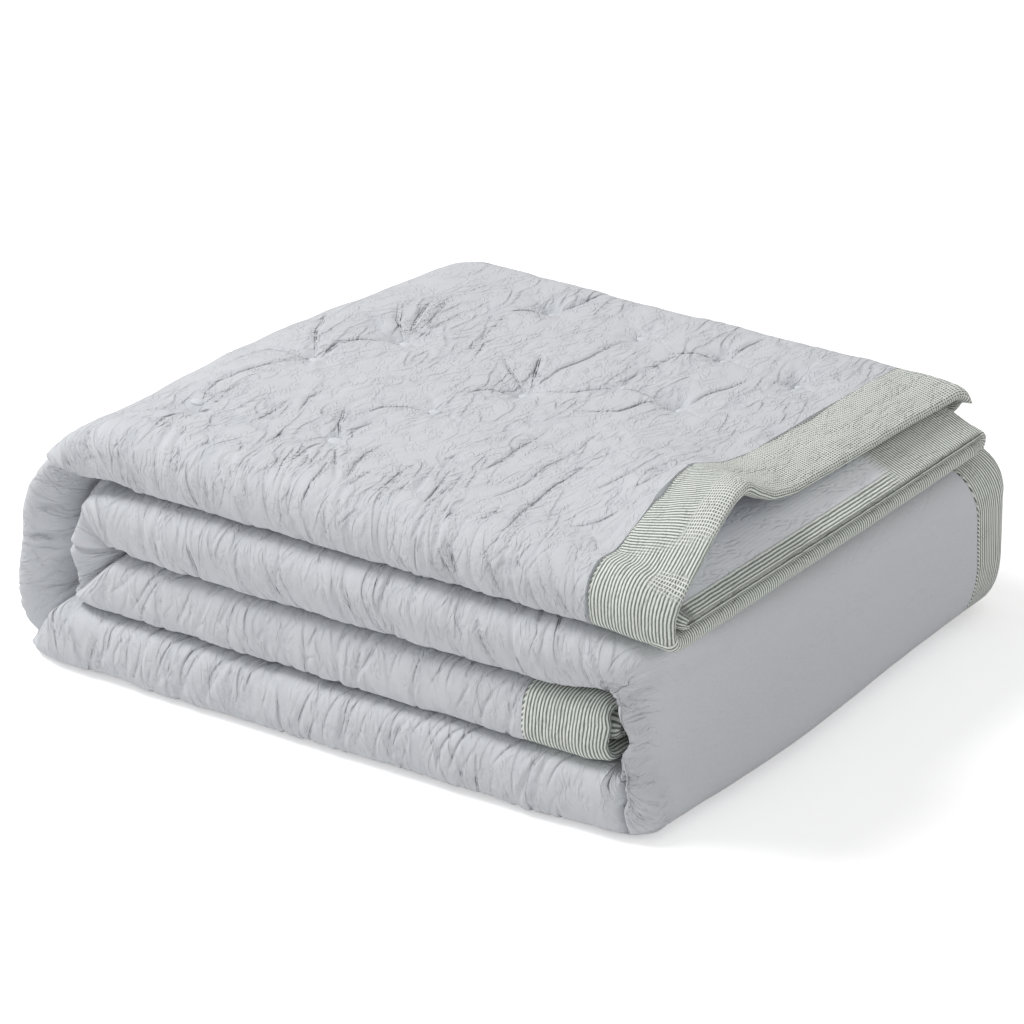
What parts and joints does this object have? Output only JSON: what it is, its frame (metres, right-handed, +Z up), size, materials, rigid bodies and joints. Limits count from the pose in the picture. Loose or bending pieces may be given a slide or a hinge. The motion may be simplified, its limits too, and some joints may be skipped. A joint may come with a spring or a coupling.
{
  "type": "folded summer duvet",
  "caption": "Quilted cotton summer duvet with tied tufts and pinstripe borders, folded lengthwise and rolled up flat into a stack that rests on its underside.",
  "frame": {"origin": "middle of the folded stack's box, on the surface it rests on", "axes": "+X along the long front side, from the folded end to the open lip, +Y to the back, +Z up"},
  "size_m": [0.5984, 0.4998, 0.2464],
  "materials": {
    "cotton": "washed crinkled cotton, matt",
    "pinstripe": "woven pinstripe cotton, matt",
    "thread": "tied cotton thread, matt"
  },
  "bodies": {
    "root": {"quilt": "cotton", "end_border_outer": "pinstripe", "end_border_inner": "pinstripe", "long_border_outer": "pinstripe", "long_border_inner": "pinstripe", "tuft_01": "thread", "tuft_02": "thread", "tuft_03": "thread", "tuft_04": "thread", "tuft_05": "thread", "tuft_06": "thread", "tuft_07": "thread", "tuft_08": "thread", "tuft_09": "thread", "tuft_10": "thread", "tuft_11": "thread", "tuft_12": "thread"}
  },
  "joints": []
}
